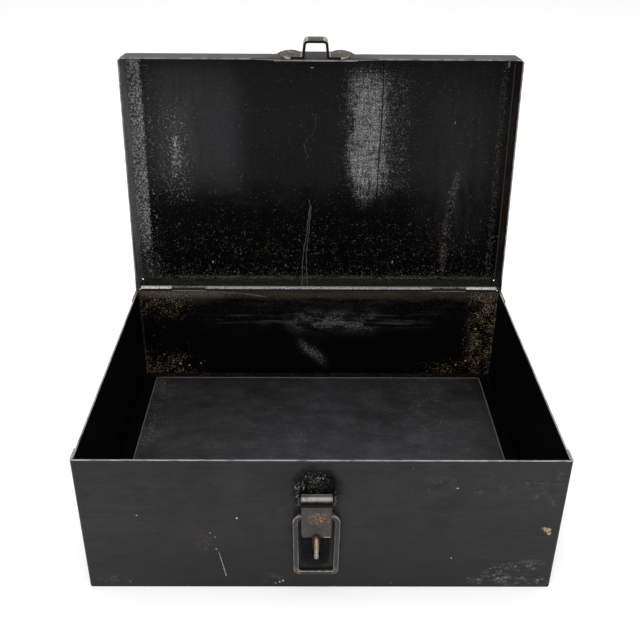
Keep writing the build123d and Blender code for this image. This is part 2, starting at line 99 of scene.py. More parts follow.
class Wire:
    # one output of a node tree; arithmetic on wires adds the Math nodes
    def __init__(self, tree, socket=None):
        self.tree = tree
        self.socket = socket

    def node(self, kind, settings=None, inputs=None, output=0):
        made = self.tree.nodes.new(kind)
        for name, value in (settings or {}).items():
            setattr(made, name, value)
        for name, value in (inputs or {}).items():
            socket = made.inputs[name]
            if isinstance(value, Wire):
                self.tree.links.new(value.socket, socket)
            elif hasattr(socket.default_value, "__len__") and len(socket.default_value) == 4:
                socket.default_value = (*value[:3], 1.0)
            else:
                socket.default_value = value
        return Wire(self.tree, made.outputs[output])

    def maths(self, operation, *values):
        return self.node("ShaderNodeMath", {"operation": operation}, dict(enumerate(values)))

    def __add__(self, other):
        return self.maths("ADD", self, other)

    __radd__ = __add__

    def __sub__(self, other):
        return self.maths("SUBTRACT", self, other)

    def __rsub__(self, other):
        return self.maths("SUBTRACT", other, self)

    def __mul__(self, other):
        return self.maths("MULTIPLY", self, other)

    __rmul__ = __mul__

    def __truediv__(self, other):
        return self.maths("DIVIDE", self, other)

    def __rtruediv__(self, other):
        return self.maths("DIVIDE", other, self)

    def __abs__(self):
        return self.maths("ABSOLUTE", self)

    def most(self, other):
        return self.maths("MAXIMUM", self, other)


def between(value, low, high):
    # 0 at low, 1 at high, eased
    return value.node(
        "ShaderNodeMapRange",
        {"interpolation_type": "SMOOTHSTEP"},
        {"Value": value, "From Min": low, "From Max": high},
    )


def window(value, low, high, soft):
    return between(value, low - soft, low + soft) * between(value, high + soft, high - soft)


def region(x, z, bounds, softX, softZ):
    # a soft-edged rectangle; bounds are left, right, bottom and top
    left, right, bottom, top = bounds
    return window(x, left, right, softX) * window(z, bottom, top, softZ)


def highest(masks):
    # the strongest of several masks
    top = masks[0]
    for mask in masks[1:]:
        top = top.most(mask)
    return top


def offCentre(x, z, mark):
    # 0 in the middle of an oval and 1 on its outline: (x, z, half width, half height)
    middleX, middleZ, wide, high = mark
    across = (x - middleX) / wide
    upward = (z - middleZ) / high
    return across * across + upward * upward


def grain(place, scale, detail=3.0, roughness=0.55):
    # noise; three scales draw it out along x, y and z
    if isinstance(scale, tuple):
        place = place.node("ShaderNodeVectorMath", {"operation": "MULTIPLY"}, {0: place, 1: scale})
        scale = 1.0
    return place.node(
        "ShaderNodeTexNoise",
        None,
        {"Vector": place, "Scale": scale, "Detail": detail, "Roughness": roughness},
    )


def speckle(place, scale, size):
    # round specks, one in each cell, 1 at the middle
    cell = place.node("ShaderNodeTexVoronoi", None, {"Vector": place, "Scale": scale})
    return between(cell, size, size * 0.45)


# how readily dust, rubbed patches and chips show
wearRule = {
    "dustPull": 0.2,
    "dustLevel": 0.705,
    "rubDensity": 1.15,
    "rubFine": 1.7,
    "rubLevel": 0.55,
    "chipRagged": 3.0,
    "chipEdge": (1.2, 0.8),
}


def dusting(density, fine, soft=0.05):
    # specks of dust that crowd together where the density rises towards 1
    level = wearRule["dustLevel"]
    return between(fine + density * wearRule["dustPull"], level, level + soft)


def blend(mask, below, above):
    return mask.node("ShaderNodeMix", {"data_type": "RGBA"}, {0: mask, 6: below, 7: above}, 2)


def layers(colour, *coats):
    # coats over a colour, each one a mask and the colour that it brings
    for mask, above in coats:
        colour = blend(mask, colour, above)
    return colour


def grey(level):
    return (level, level, level)


def rubbed(density, broad, fine, soft=0.5):
    # a worn patch that breaks up into grains towards its edge
    level = wearRule["rubLevel"]
    worn = density * wearRule["rubDensity"] + (broad - 0.5) + (fine - 0.5) * wearRule["rubFine"]
    return between(worn, level, level + soft)


def chipMask(x, z, ragged, chips):
    # chips and flecks: (x, z, half width, half height), with ragged edges
    outer, inner = wearRule["chipEdge"]
    bite = (ragged - 0.5) * wearRule["chipRagged"]
    return highest([between(offCentre(x, z, chip) + bite, outer, inner) for chip in chips])


def lineMask(x, z, points, halfWidth, wander):
    # a scratch or crack along points that rise or fall all the way
    parts = []
    for start, end in zip(points, points[1:]):
        slope = (end[0] - start[0]) / (end[1] - start[1])
        middle = (z - start[1]) * slope + start[0] + wander
        low, high = sorted((start[1], end[1]))
        parts.append(between(abs(x - middle), halfWidth, halfWidth * 0.4) * window(z, low, high, 0.5))
    return highest(parts)


class Finish:
    # a material under way: its first shader and the place on the object in millimetres
    def __init__(self, name, specular):
        self.material = bpy.data.materials.new(name)
        self.material.use_nodes = True
        self.tree = self.material.node_tree
        self.shader = self.tree.nodes["Principled BSDF"]
        self.shader.inputs["Specular IOR Level"].default_value = specular
        start = Wire(self.tree)
        metres = start.node("ShaderNodeTexCoord", None, None, "Object")
        self.place = metres.node(
            "ShaderNodeVectorMath", {"operation": "SCALE"}, {"Vector": metres, "Scale": perMetre}
        )
        parts = start.node("ShaderNodeSeparateXYZ", None, {"Vector": self.place}).socket.node
        self.x, self.y, self.z = (Wire(self.tree, parts.outputs[index]) for index in range(3))

    def coat(self, specular, mask):
        # a second shader over the first, where the mask is 1
        coat = self.tree.nodes.new("ShaderNodeBsdfPrincipled")
        coat.inputs["Specular IOR Level"].default_value = specular
        output = self.tree.nodes["Material Output"].inputs["Surface"]
        below = Wire(self.tree, output.links[0].from_socket)
        above = Wire(self.tree, coat.outputs[0])
        mixed = mask.node("ShaderNodeMixShader", None, {0: mask, 1: below, 2: above})
        self.tree.links.new(mixed.socket, output)
        return coat

    def fill(self, shader, colour, roughness, metallic=0.0, height=None, bump=0.0):
        for name, value in (("Base Color", colour), ("Roughness", roughness), ("Metallic", metallic)):
            if isinstance(value, Wire):
                self.tree.links.new(value.socket, shader.inputs[name])
            else:
                shader.inputs[name].default_value = (*value, 1.0) if name == "Base Color" else value
        if height is not None:
            values = {"Strength": bump, "Distance": 1.0 / perMetre, "Height": height}
            relief = height.node("ShaderNodeBump", None, values, "Normal")
            self.tree.links.new(relief.socket, shader.inputs["Normal"])


def dress(name, material):
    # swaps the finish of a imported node
    piece = nodes[name]
    piece.data.materials.clear()
    piece.data.materials.append(material)


def cutMesh(piece, unwanted):
    # deletes the marked vertices and leaves the others selected in edit mode
    bpy.ops.object.mode_set(mode="EDIT")
    bpy.ops.mesh.select_mode(type="VERT")
    bpy.ops.mesh.select_all(action="DESELECT")
    bpy.ops.object.mode_set(mode="OBJECT")
    for vertex, gone in zip(piece.data.vertices, unwanted):
        vertex.select = gone
    bpy.ops.object.mode_set(mode="EDIT")
    bpy.ops.mesh.delete(type="VERT")
    bpy.ops.mesh.select_all(action="SELECT")


def thicken(move, smoothAngle):
    # draws the selected sheet out by a move in metres and smooths the closed form
    bpy.ops.mesh.extrude_region_move(TRANSFORM_OT_translate={"value": move})
    bpy.ops.mesh.select_all(action="SELECT")
    bpy.ops.mesh.normals_make_consistent(inside=False)
    bpy.ops.object.mode_set(mode="OBJECT")
    bpy.ops.object.shade_smooth_by_angle(angle=math.radians(smoothAngle))


paint = {
    "gloss": 0.13,
    "innerGloss": 0.036,
    "deep": (0.013, 0.0125, 0.0128),
    "worn": (0.032, 0.0307, 0.0312),
    "brown": (0.031, 0.0235, 0.0205),
    "scar": (0.1, 0.098, 0.095),
    "insideDeep": (0.0016, 0.0016, 0.0017),
    "insideWorn": (0.006, 0.006, 0.0064),
    "bare": (0.4, 0.39, 0.375),
    "chip": (0.42, 0.4, 0.36),
    "foldWear": (0.2, 0.19, 0.175),
    # where the upright corners begin and end
    "frontFold": (-125.4, -126.2),
    "rearFold": (98.2, 99.0),
    "sideFold": (176.8, 177.5),
}


def outsidePaint(finish):
    # black enamel with rolling lines, small scars and a chip here and there
    place = finish.place
    cloud = grain(place, 0.02, 4.0, 0.6)
    lines = grain(place, (0.022, 0.022, 0.85), 5.0, 0.72)
    mottle = grain(place, (0.06, 0.06, 0.13), 5.0, 0.72)
    fine = grain(place, 1.1, 2.0, 0.6)
    scars = between(grain(place, (0.1, 0.1, 0.9), 3.0, 0.7), 0.66, 0.7)
    scars = scars * between(cloud, 0.5, 0.62)
    dots = speckle(place, 0.07, 0.055) * between(grain(place, 0.05, 2.0), 0.58, 0.62)
    stains = between(grain(place, 0.09, 4.0, 0.7), 0.52, 0.66)
    fold = between(finish.y, *paint["frontFold"]).most(between(finish.y, *paint["rearFold"]))
    fold = fold * between(abs(finish.x), *paint["sideFold"]) * between(fine, 0.5, 0.6)
    tone = between(lines * 0.3 + cloud * 0.34 + mottle * 0.36, 0.34, 0.66)
    colour = layers(
        blend(tone, paint["deep"], paint["worn"]),
        (stains * 0.35, paint["brown"]),
        (scars * 0.3, paint["scar"]),
        (dots * 0.8, paint["chip"]),
        (fold * between(mottle, 0.4, 0.56) * 0.7, paint["foldWear"]),
    )
    rough = 0.28 + lines * 0.08 + cloud * 0.14 + mottle * 0.16
    height = lines * 0.16 + cloud * 0.5 + mottle * 0.34
    finish.cloud, finish.lines, finish.fine = cloud, lines, fine
    return colour, rough, height


frontFinish = {
    "outerFace": -126.548,
    "tabs": 176.3,
    "rim": 127.9,
    "chips": (
        (-135.3, 75.3, 0.55, 0.5), (-62.1, 72.6, 1.0, 0.8), (-82.5, 57.5, 0.5, 0.4),
        (-79.0, 53.4, 0.5, 0.4), (-78.6, 41.0, 0.5, 0.5), (97.9, 102.4, 0.7, 0.6),
        (99.1, 31.5, 0.7, 0.6), (-31.3, 5.4, 0.7, 0.9), (-28.8, 6.6, 0.6, 1.2), (-34.6, 4.0, 0.5, 0.5),
        (-72.4, 12.6, 0.6, 0.6),
    ),
    "creamChip": ((168.1, 61.1, 2.6, 2.2), (165.4, 62.6, 1.7, 1.2), (169.8, 57.6, 1.5, 1.5)),
    "creamSpread": 1.7,
    "scratch": ((-76.8, 37.6), (-74.9, 27.0), (-72.5, 13.2)),
    # rubbed places: (x, z, half width, half height)
    "faint": (
        (85.0, 105.0, 12.0, 7.0), (129.0, 101.0, 9.0, 6.0), (150.0, 107.0, 16.0, 3.0),
        (163.0, 92.0, 9.0, 9.0), (171.0, 110.0, 3.5, 9.0), (-84.0, 46.0, 8.0, 7.0),
        (-27.0, 78.0, 4.0, 4.5), (-36.0, 9.0, 9.0, 5.0), (-160.0, 8.0, 12.0, 6.0),
        (112.0, 98.0, 5.0, 3.0), (150.0, 103.0, 5.0, 3.5),
    ),
    # rubbed lower corner: (x, z, half width, half height)
    "scuff": (
        (123.0, 8.0, 11.0, 6.0), (133.0, 17.0, 9.0, 7.0), (147.0, 22.0, 12.0, 5.0),
        (160.0, 24.0, 11.0, 6.0), (170.0, 7.0, 6.0, 6.0), (148.0, 8.0, 24.0, 7.0),
    ),
    # dark dirt about the crust, partly painted shade: (x, z, half width, half height)
    "grimeAndPaintedLight": (-3.5, 102.0, 19.0, 23.0),
    # painted shade inside the link, round the tongue: left, right, bottom and top
    "shadow": (-15.6, 6.4, 26.0, 82.0),
}


def softMark(x, z, mark):
    # a soft rectangle about its middle: (x, z, half width, half height)
    middleX, middleZ, wide, high = mark
    bounds = (middleX - wide, middleX + wide, middleZ - high, middleZ + high)
    return region(x, z, bounds, wide * 0.7, high * 0.7)


def frontPaint(values):
    finish = Finish("frontPaint", paint["gloss"])
    x, y, z, place = finish.x, finish.y, finish.z, finish.place
    colour, rough, height = outsidePaint(finish)
    ragged = grain(place, 0.8, 3.0, 0.7)
    chips = chipMask(x, z, ragged, values["chips"])
    lumps = grain(place, 0.42, 4.0, 0.75)
    cream = chipMask(x, z, lumps, values["creamChip"])
    spread = values["creamSpread"]
    larger = [(*chip[:2], chip[2] * spread, chip[3] * spread) for chip in values["creamChip"]]
    around = chipMask(x, z, lumps, larger)
    scratch = lineMask(x, z, values["scratch"], 0.34, (ragged - 0.5) * 1.8) * between(ragged, 0.34, 0.5)
    brushed = grain(place, (0.13, 0.13, 0.3), 5.0, 0.66)
    patch = highest([between(offCentre(x, z, mark), 1.7, 0.1) for mark in values["scuff"]])
    patch = patch * between(brushed, 0.4, 0.6)
    flecks = dusting(patch, grain(place, 0.62, 4.0, 0.78), 0.08)
    faint = highest([softMark(x, z, mark) for mark in values["faint"]])
    faint = faint * between(grain(place, 0.11, 4.0, 0.7), 0.42, 0.6)
    veil = patch.most(faint * 0.8) * between(brushed, 0.38, 0.62)
    faint = dusting(faint * 0.72, grain(place, (0.6, 0.6, 0.9), 3.0, 0.75))
    outside = between(y, values["outerFace"] + 0.3, values["outerFace"] + 0.1)
    # the top rim: worn bare metal with a painted highlight, broken up by the shine grain
    rim = between(z, values["rim"], values["rim"] + 0.06)
    shine = between(grain(place, (0.09, 0.6, 1.0), 4.0, 0.7), 0.3, 0.58)
    # painted shade: the front face is darkened towards the bottom and towards the middle
    low = between(z, 70.0, 0.0) * 0.4
    middle = between(abs(x), 150.0, 20.0) * 0.16
    colour = layers(
        colour,
        (low + middle, (0.0075, 0.0072, 0.0074)),
        (veil * 0.55, (0.085, 0.083, 0.078)),
        (flecks * 0.75, (0.27, 0.265, 0.235)),
        (faint * 0.6, (0.22, 0.21, 0.185)),
        (scratch, (0.42, 0.41, 0.4)),
        (chips, paint["chip"]),
        (around * 0.8, (0.055, 0.032, 0.016)),
        (cream * between(ragged, 0.38, 0.52), (0.46, 0.37, 0.24)),
        (rim * (shine * 0.75 + 0.25), paint["bare"]),
    )
    rough = rough + chips.most(cream) * 0.3
    height = height - chips * 0.4 - cream * 0.5
    finish.fill(finish.shader, colour, rough, rim * 0.5, height, 0.1)
    # dark dirt about the crust, partly painted shade, and painted shade inside the link round the tongue,
    # under a dull dark coat
    grimeAndPaintedLight = offCentre(x, z, values["grimeAndPaintedLight"]) + (grain(place, 0.12, 4.0, 0.7) - 0.5) * 1.6
    grimeAndPaintedLight = between(grimeAndPaintedLight, 1.25, 0.35)
    paintedShade = region(x, z, values["shadow"], 1.6, 3.0) * between(lumps, 0.36, 0.5)
    grimeAndPaintedLight = grimeAndPaintedLight.most(paintedShade * 0.8) * outside
    dull = finish.coat(0.05, grimeAndPaintedLight * 0.9)
    dirt = dusting(grimeAndPaintedLight * 0.55, finish.fine) * between(x, 6.0, -6.0) * between(z, 86.0, 92.0)
    finish.fill(dull, blend(dirt * 0.5, (0.0035, 0.0033, 0.0032), (0.13, 0.125, 0.1)), 0.8)
    inward = (1 - outside) * (1 - rim) * between(abs(x), values["tabs"] + 0.1, values["tabs"] - 0.1)
    inner = finish.coat(paint["innerGloss"], inward)
    finish.fill(inner, blend(finish.cloud, paint["insideDeep"], paint["insideWorn"]), 0.4)
    return finish.material


dress("front_wall", frontPaint(frontFinish))

sideFinish = {
    "innerFace": 175.6,
    "rim": 127.9,
    "frontCorner": (-127.2, -126.2),
    "curl": (-30.0, 4.0, 62.0, 96.0),
}


def sidePaint(values):
    finish = Finish("sidePaint", paint["gloss"])
    x, y, z, place = finish.x, finish.y, finish.z, finish.place
    colour, rough, height = outsidePaint(finish)
    cloud, fine = finish.cloud, finish.fine
    # the rim: worn bare metal with a painted highlight, broken up by the shine grain
    rim = between(z, values["rim"], values["rim"] + 0.06)
    shine = between(grain(place, (0.6, 0.07, 1.0), 4.0, 0.7), 0.32, 0.6)
    foot = between(z, 3.0, 0.5) * between(fine, 0.5, 0.62)
    corner = window(y, *values["frontCorner"], 0.4) * between(fine, 0.52, 0.62)
    colour = layers(
        colour,
        (foot * 0.5, (0.16, 0.15, 0.14)),
        (corner * 0.5, paint["bare"]),
        (rim * (shine * 0.7 + 0.15), paint["bare"]),
    )
    finish.fill(finish.shader, colour, rough, rim * 0.4, height, 0.1)
    inside = between(abs(x), values["innerFace"] + 0.5, values["innerFace"] + 0.3) * (1 - rim)
    inner = finish.coat(paint["innerGloss"], inside)
    dust = dusting(between(z, 22.0, 125.0) * between(y, -60.0, 95.0) * 0.34, grain(place, 0.7, 4.0, 0.75))
    curl = dusting(region(y, z, values["curl"], 10.0, 10.0) * 0.35, finish.lines)
    dark = layers(
        blend(cloud, (0.0008, 0.0008, 0.0009), (0.003, 0.0029, 0.0031)),
        (dust * 0.45, (0.1, 0.08, 0.05)),
        (curl * 0.3, grey(0.05)),
    )
    finish.fill(inner, dark, 0.42 + cloud * 0.2, 0.0, cloud, 0.08)
    return finish.material


sideMaterial = sidePaint(sideFinish)
dress("left_side_wall", sideMaterial)
dress("right_side_wall", sideMaterial)

rearFinish = {
    "innerFace": 98.252,
    "tabs": 176.3,
    "rim": (127.85, 127.95),
    "knuckles": (128.2, 128.5),
    "haze": (-30.0, 58.0, 80.0, 106.0),
    "wings": (-100.0, 122.0, 86.0, 102.0),
    # left, top, right and bottom of a slanting scuff
    "scuffLine": (-20.0, 66.0, 8.0, 44.0),
    "rustLeft": (-190.0, -122.0),
    "rustRight": (144.0, 190.0),
    "curl": ((-112.0, 126.6), (-74.0, 124.8)),
    "curlEnd": ((-75.0, 124.9), (-52.0, 120.8)),
    "flakes": (
        (-140.4, 40.5, 1.3, 1.1), (-131.5, 38.5, 1.2, 0.9), (-147.0, 44.0, 0.8, 0.8),
        (-119.5, 41.0, 0.7, 0.8), (-156.0, 52.0, 0.7, 0.7), (141.0, 40.0, 0.9, 0.8),
        (150.5, 45.0, 1.0, 0.9), (160.0, 66.0, 0.9, 0.8), (157.0, 84.0, 0.9, 0.9),
    ),
}


def rearPaint(values):
    finish = Finish("rearPaint", paint["gloss"])
    x, y, z, place = finish.x, finish.y, finish.z, finish.place
    colour, rough, height = outsidePaint(finish)
    cloud, fine = finish.cloud, finish.fine
    belowRim, aboveRim = values["rim"]
    knuckles = between(z, *values["knuckles"])
    rim = between(z, belowRim, aboveRim) * (1 - knuckles)
    # the rim: worn bare metal with a painted highlight
    colour = blend(rim * 0.8, colour, (0.22, 0.215, 0.2))
    finish.fill(finish.shader, colour, rough, rim * 0.4, height, 0.1)
    rolled = finish.coat(0.06, knuckles)
    # painted highlights along the lower and upper sides of the box's knuckles
    lowerHighlight = between(z, 130.7, 130.2) * between(fine, 0.34, 0.5)
    upperHighlight = between(z, 132.7, 133.1) * between(fine, 0.44, 0.58)
    joint = layers(
        blend(between(fine, 0.46, 0.6) * 0.6, (0.006, 0.004, 0.0038), (0.06, 0.05, 0.045)),
        (lowerHighlight, (0.56, 0.54, 0.51)),
        (upperHighlight * 0.8, (0.3, 0.29, 0.27)),
    )
    finish.fill(rolled, joint, 0.45, 0.0, fine, 0.1)
    wisps = grain(place, (0.045, 1.0, 0.16), 6.0, 0.72)
    streaks = grain(place, (0.02, 1.0, 0.3), 6.0, 0.72)
    bands = grain(place, (0.03, 1.0, 0.12), 5.0, 0.7)
    speck = grain(place, 0.62, 4.0, 0.75)
    small = grain(place, 0.95, 3.0, 0.75)
    haze = region(x, z, values["haze"], 10.0, 9.0)
    haze = haze * between(grain(place, (0.05, 1.0, 0.09), 5.0, 0.7), 0.36, 0.54)
    grit = dusting(haze * 1.05, small, 0.1)
    wings = region(x, z, values["wings"], 20.0, 7.0) * between(streaks, 0.49, 0.62)
    left, top, right, bottom = values["scuffLine"]
    along = (x - left) / (right - left)
    off = abs((z - top) - along * (bottom - top))
    scuff = window(x, left, right, 6.0) * between(off, 14.0, 2.0)
    scuffGrit = dusting(scuff, small, 0.08)
    edges = window(x, *values["rustLeft"], 12.0)
    edges = edges * (between(z, 88.0, 108.0) * 0.4 + between(z, 66.0, 44.0) * 0.46 + 0.46)
    edges = edges.most(window(x, *values["rustRight"], 14.0))
    low = between(abs(x), 60.0, 150.0) * between(z, 62.0, 34.0)
    clumps = between(grain(place, 0.075, 4.0, 0.7), 0.36, 0.58)
    golden = (edges * (clumps * 0.46 + 0.5)).most(low * (clumps * 0.4 + 0.58))
    golden = dusting(golden * between(cloud + (wisps - 0.5) * 0.3, 0.28, 0.46), speck, 0.07)
    flakes = chipMask(x, z, small, values["flakes"])
    loose = dusting(between(z, 50.0, 120.0) * 0.38, grain(place, 0.85, 3.0, 0.7))
    brown = between(z, 106.0, 122.0) * between(bands, 0.42, 0.62)
    lip = between(z, 117.0, 125.5) * (between(x, -60.0, -120.0) * 0.65 + 0.35) * between(speck, 0.34, 0.58)
    wave = (grain(place, 0.09, 3.0, 0.6) - 0.5) * 6.0
    curl = lineMask(x, z, values["curl"], 11.0, wave * 2.0).most(lineMask(x, z, values["curlEnd"], 3.5, wave))
    curl = curl * between(small, 0.34, 0.5)
    corners = between(abs(x), 173.2, 175.0) * between(speck, 0.44, 0.6)
    gold = blend(between(wisps, 0.42, 0.6), (0.46, 0.39, 0.27), (0.4, 0.27, 0.12))
    dark = layers(
        blend(cloud, (0.001, 0.001, 0.001), (0.004, 0.0038, 0.0037)),
        (brown * 0.55, (0.05, 0.04, 0.028)),
        (lip * 0.75, (0.23, 0.205, 0.165)),
        (haze * 0.24, (0.07, 0.069, 0.069)),
        (grit * 0.75, grey(0.25)),
        (wings * 0.38, (0.12, 0.115, 0.11)),
        (scuff * 0.16, grey(0.06)),
        (scuffGrit * 0.75, grey(0.23)),
        (curl * 0.7, (0.3, 0.28, 0.25)),
        (loose * 0.45, (0.22, 0.2, 0.16)),
        (corners * 0.6, (0.18, 0.155, 0.12)),
        (golden * 0.9, gold),
        (flakes, (0.62, 0.5, 0.3)),
    )
    inside = between(y, values["innerFace"] + 0.5, values["innerFace"] + 0.3)
    inside = inside * between(z, aboveRim, belowRim)
    inside = inside * between(abs(x), values["tabs"] + 0.1, values["tabs"] - 0.1)
    inner = finish.coat(paint["innerGloss"], inside)
    finish.fill(inner, dark, 0.45 + cloud * 0.2, 0.0, cloud + speck * 0.3, 0.1)
    return finish.material


dress("rear_wall", rearPaint(rearFinish))

panFinish = {
    "gloss": 0.3,
    "creaseX": 162.6,
    "creaseRear": 85.2,
    "creaseFront": -112.3,
    "dustLeft": (-163.0, -146.0),
    "dustRight": (60.0, 120.0, 0.0, 60.0),
}


def panPaint(values):
    finish = Finish("panPaint", values["gloss"])
    x, y, place = finish.x, finish.y, finish.place
    creaseX, creaseRear, creaseFront = (values[key] for key in ("creaseX", "creaseRear", "creaseFront"))
    cloud = grain(place, 0.01, 5.0, 0.6)
    mottle = grain(place, (0.035, 0.055, 0.05), 6.0, 0.75)
    strokes = grain(place, (0.05, 0.6, 0.6), 4.0, 0.75)
    fine = grain(place, 0.35, 3.0, 0.6)
    speck = grain(place, 0.75, 4.0, 0.75)
    # painted light: the pan floor is lighter towards the front and the middle, with painted shade towards the
    # rear wall and the side walls
    paintedPanLight = between(y, 90.0, -30.0) * (1 - between(abs(x), 60.0, 165.0) * 0.45)
    sideDust = window(x, *values["dustLeft"], 12.0)
    sideDust = sideDust.most(region(x, y, values["dustRight"], 20.0, 20.0) * 0.45)
    dust = dusting(between(mottle, 0.4, 0.6) * 0.42 + sideDust * 0.42 + 0.2, speck, 0.08)
    brown = between(x, 60.0, 130.0) * between(y, 10.0, 80.0) * 0.36
    brown = brown.most(between(abs(x), 90.0, 150.0) * between(y, 84.0, 90.0) * 0.8)
    brown = dusting(brown, grain(place, 0.66, 3.0, 0.75))
    # painted highlight along the crease where the pan's floor turns down at its edges
    wander = (fine - 0.5) * 0.5
    across = between(abs(x), creaseX + 0.6, creaseX)
    side = between(abs(abs(x) + wander - creaseX), 0.75, 0.25) * between(y, creaseRear + 0.6, creaseRear)
    rear = between(abs(y + wander - creaseRear), 0.8, 0.25) * across
    front = between(abs(y - creaseFront), 0.8, 0.3) * across
    creaseHighlight = (side * 0.55).most(rear * (between(speck, 0.38, 0.56) * 0.7 + 0.3)).most(front * 0.4)
    tone = between(cloud * 0.3 + mottle * 0.46 + strokes * 0.24, 0.36, 0.64)
    colour = layers(
        blend(tone, (0.0036, 0.0038, 0.0042), (0.015, 0.0155, 0.0172)),
        (paintedPanLight * (0.32 + tone * 0.8), (0.04, 0.0405, 0.044)),
        (dust * 0.6, grey(0.17)),
        (brown * 0.5, (0.16, 0.12, 0.07)),
        (creaseHighlight * 0.85, (0.24, 0.24, 0.235)),
    )
    finish.fill(finish.shader, colour, 0.4 + mottle * 0.22, 0.0, fine * 0.4 + mottle, 0.1)
    margin = between(abs(x), creaseX + 0.3, creaseX + 0.8)
    margin = margin.most(between(y, creaseRear + 0.3, creaseRear + 0.8))
    margin = margin.most(between(y, creaseFront - 0.3, creaseFront - 0.8))
    slope = finish.coat(paint["innerGloss"], margin)
    fallen = dusting(between(y, 84.0, 88.0) * 0.62, speck, 0.08)
    black = blend(cloud, paint["insideDeep"], (0.003, 0.003, 0.0032))
    finish.fill(slope, blend(fallen * 0.8, black, (0.3, 0.24, 0.15)), 0.5)
    return finish.material


dress("floor_pan", panPaint(panFinish))

lidFinish = {
    "hinge": (96.942, 131.0),
    "lean": 95.0,
    "innerFace": 22.2,
    "edge": -2.6,
    "frontSkirt": 223.49,
    "halfWidth": 176.8,
    "leftStrip": -162.0,
    "scuff": (28.0, 61.0, 86.0, 206.0),
    "wideScuff": (14.0, 90.0, 82.0, 222.0),
    "tail": (38.0, 50.0, 60.0, 92.0),
    "bluePatch": (-98.0, -78.0, 92.0, 208.0),
    "leftHaze": (-160.0, -98.0, 104.0, 212.0),
    "rightHaze": (104.0, 166.0, 50.0, 200.0),
    "flecks": (-144.0, -127.0, 98.0, 160.0),
    "looseFlecks": (-156.0, -116.0, 76.0, 184.0),
    "fold": ((56.8, 227.0), (57.3, 191.0), (56.8, 153.5), (55.4, 114.0), (54.9, 74.0)),
    "slant": ((134.5, 136.5), (127.7, 84.4), (123.7, 42.6), (121.0, 7.9)),
    "runs": (
        ((-9.9, 83.8), (-8.9, 77.7), (-11.7, 52.6), (-15.6, 25.9), (-16.5, -2.0)),
        ((-7.9, 77.7), (-9.7, 52.6), (-12.6, 25.9), (-11.5, -2.0)),
    ),
    "crack": ((-2.9, 168.0), (-5.5, 152.0), (-14.7, 139.0), (-11.0, 126.0)),
    "marks": (
        (-104.7, 18.0, 0.6, 1.4), (72.7, 18.7, 0.6, 1.4), (84.8, 114.6, 0.4, 0.4),
        (125.3, 160.6, 0.5, 0.5), (124.3, 92.6, 0.4, 0.4), (-7.7, 211.0, 1.4, 0.5),
        (-135.5, 138.0, 0.9, 2.0), (-134.0, 145.0, 0.6, 1.2), (-170.8, 214.0, 0.8, 4.0),
        (170.5, 215.0, 0.8, 3.0),
    ),
}


def onLid(finish, values):
    # along runs from the hinge to the front skirt, depth from the free edges to the top
    lean = math.radians(values["lean"])
    back = finish.y - values["hinge"][0]
    above = finish.z - values["hinge"][1]
    along = above * math.sin(lean) - back * math.cos(lean)
    depth = back * math.sin(lean) + above * math.cos(lean)
    return along, depth


def slantMask(x, along, points):
    # a broad soft band along points that fall all the way
    parts = []
    for (highX, high), (lowX, low) in zip(points, points[1:]):
        middle = (along - low) * ((highX - lowX) / (high - low)) + lowX
        parts.append(between(abs(x - middle), 11.0, 1.0) * window(along, low, high, 2.0))
    return highest(parts)


